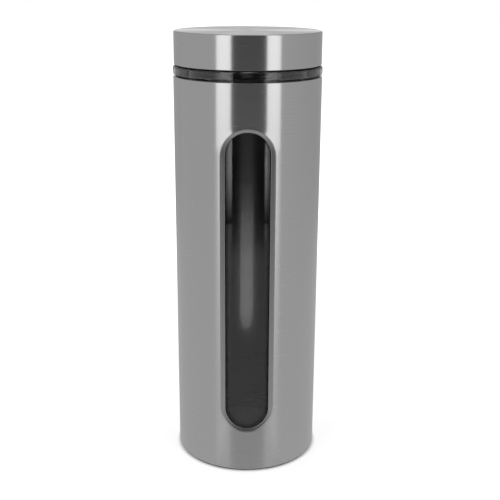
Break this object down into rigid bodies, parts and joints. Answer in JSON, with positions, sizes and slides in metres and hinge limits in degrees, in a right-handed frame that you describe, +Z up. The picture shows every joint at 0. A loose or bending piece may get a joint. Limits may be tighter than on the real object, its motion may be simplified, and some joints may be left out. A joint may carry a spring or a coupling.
{
  "type": "storage canister",
  "caption": "Tall round storage canister: a glass jar in a brushed steel sleeve with an oval window, closed by a steel screw lid with a seal ring.",
  "frame": {"origin": "middle of the base, on the surface the canister stands on", "axes": "+Z up along the canister, -Y out of the window at the front, +X to the right seen from the front"},
  "size_m": [0.102, 0.102, 0.3055],
  "materials": {
    "clear_glass": "clear, polished",
    "brushed_sleeve_steel": "brushed round the body",
    "foot_rubber": "matt",
    "cushion_silicone": "soft satin",
    "brushed_lid_steel": "brushed round the skirt, spun on top",
    "insert_plastic": "fine moulded texture",
    "seal_silicone": "soft satin"
  },
  "bodies": {
    "canister": {"glass_jar": "clear_glass", "steel_sleeve": "brushed_sleeve_steel", "base_ring": "foot_rubber", "upper_cushion": "cushion_silicone"},
    "seal": {"lid_seal": "seal_silicone"},
    "lid": {"lid_shell": "brushed_lid_steel", "lid_insert": "insert_plastic"}
  },
  "joints": [
    {"name": "lid_rise", "type": "slide", "parent": "canister", "child": "seal", "axis": [0, 0, 1], "range_m": [0, 0.04]},
    {"name": "lid_turn", "type": "hinge", "parent": "seal", "child": "lid", "pos_m": [0, 0, 0.2834], "axis": [0, 0, 1], "range_deg": [0, 720]}
  ],
  "couplings": [
    {"joint": "lid_rise", "follows": "lid_turn", "m_per_rad": 0.0031831}
  ]
}
